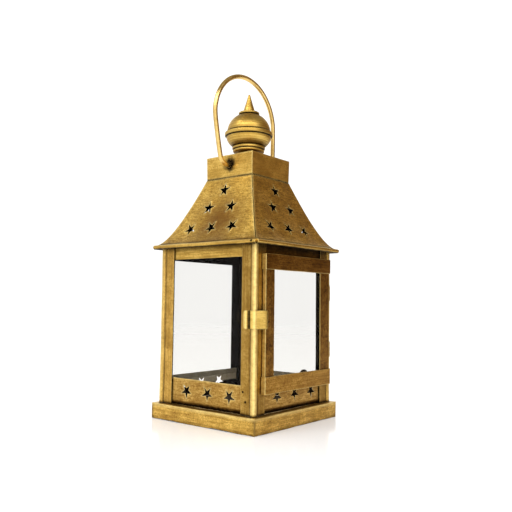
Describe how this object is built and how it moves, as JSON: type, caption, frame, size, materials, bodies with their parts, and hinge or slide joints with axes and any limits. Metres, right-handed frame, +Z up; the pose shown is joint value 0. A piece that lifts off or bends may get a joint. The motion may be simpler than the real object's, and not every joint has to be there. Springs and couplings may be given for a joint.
{
  "type": "moroccan metal lantern",
  "caption": "Square brass lantern with pierced star panels, glass sides, a hinged glass door with a spring clip, a swept tent roof, a ball finial and a swinging wire bail.",
  "frame": {"origin": "middle of the plinth's footprint, on the surface that the lantern stands on", "axes": "+Z up, -Y out of the hinged door, +X towards the door's hinge edge"},
  "size_m": [0.1304, 0.1304, 0.332],
  "materials": {
    "brass_sheet": "antique brushed sheet brass with brown patina in the creases",
    "brass_door": "darker antique sheet brass, satin",
    "brass_clip": "smooth spring brass, satin",
    "brass_wire": "drawn brass wire, soft polish",
    "brass_finial": "spun brass, soft polish with dark grooves",
    "dark_brass": "dark tarnished brass, matt",
    "clear_glass": "clear float glass"
  },
  "bodies": {
    "lantern_body": {"base_plinth": "brass_sheet", "corner_post_rear_right": "brass_sheet", "corner_post_rear_left": "brass_sheet", "corner_post_front_left": "brass_sheet", "corner_post_front_right": "brass_sheet", "lower_star_panel_front": "brass_sheet", "upper_rail_front": "brass_sheet", "roof_panel_front": "brass_sheet", "lower_star_panel_right": "brass_sheet", "upper_rail_right": "brass_sheet", "roof_panel_right": "brass_sheet", "lower_star_panel_back": "brass_sheet", "upper_rail_back": "brass_sheet", "roof_panel_back": "brass_sheet", "lower_star_panel_left": "brass_sheet", "upper_rail_left": "brass_sheet", "roof_panel_left": "brass_sheet", "glass_pane_right": "clear_glass", "pane_tab_right_a": "dark_brass", "pane_tab_right_b": "dark_brass", "glass_pane_back": "clear_glass", "pane_tab_back_a": "dark_brass", "pane_tab_back_b": "dark_brass", "glass_pane_left": "clear_glass", "pane_tab_left_a": "dark_brass", "pane_tab_left_b": "dark_brass", "hinge_post_leaf_lower": "brass_sheet", "hinge_pin_lower": "brass_wire", "hinge_post_leaf_upper": "brass_sheet", "hinge_pin_upper": "brass_wire", "collar": "brass_sheet", "collar_cap_plate": "brass_sheet", "finial_base_cup": "brass_finial", "finial_lower_bowl": "brass_finial", "finial_band": "brass_finial", "finial_neck_washer": "brass_finial", "finial_spike": "brass_finial", "finial_upper_dome": "brass_finial", "finial_rod": "dark_brass", "finial_nut": "dark_brass"},
    "door": {"door_top_rail": "brass_door", "door_bottom_rail": "brass_door", "door_latch_stile": "brass_door", "door_hinge_stile": "brass_door", "door_glass": "clear_glass", "door_glass_tab": "dark_brass", "hinge_door_leaf_lower": "brass_door", "hinge_door_leaf_upper": "brass_door"},
    "latch": {"latch_clip": "brass_clip"},
    "bail": {"bail_handle": "brass_wire"}
  },
  "joints": [
    {"name": "door_hinge", "type": "hinge", "parent": "lantern_body", "child": "door", "pos_m": [0.0536, -0.0596, 0.092], "axis": [0, 0, 1], "range_deg": [0, 130]},
    {"name": "latch_flex", "type": "hinge", "parent": "door", "child": "latch", "pos_m": [-0.0455, -0.0616, 0.095], "axis": [0, 0, 1], "range_deg": [0, 6], "stiffness_Nm_per_rad": 0.02},
    {"name": "bail_swing", "type": "hinge", "parent": "lantern_body", "child": "bail", "pos_m": [0, 0, 0.239], "axis": [1, 0, 0], "range_deg": [-130, 130]}
  ]
}
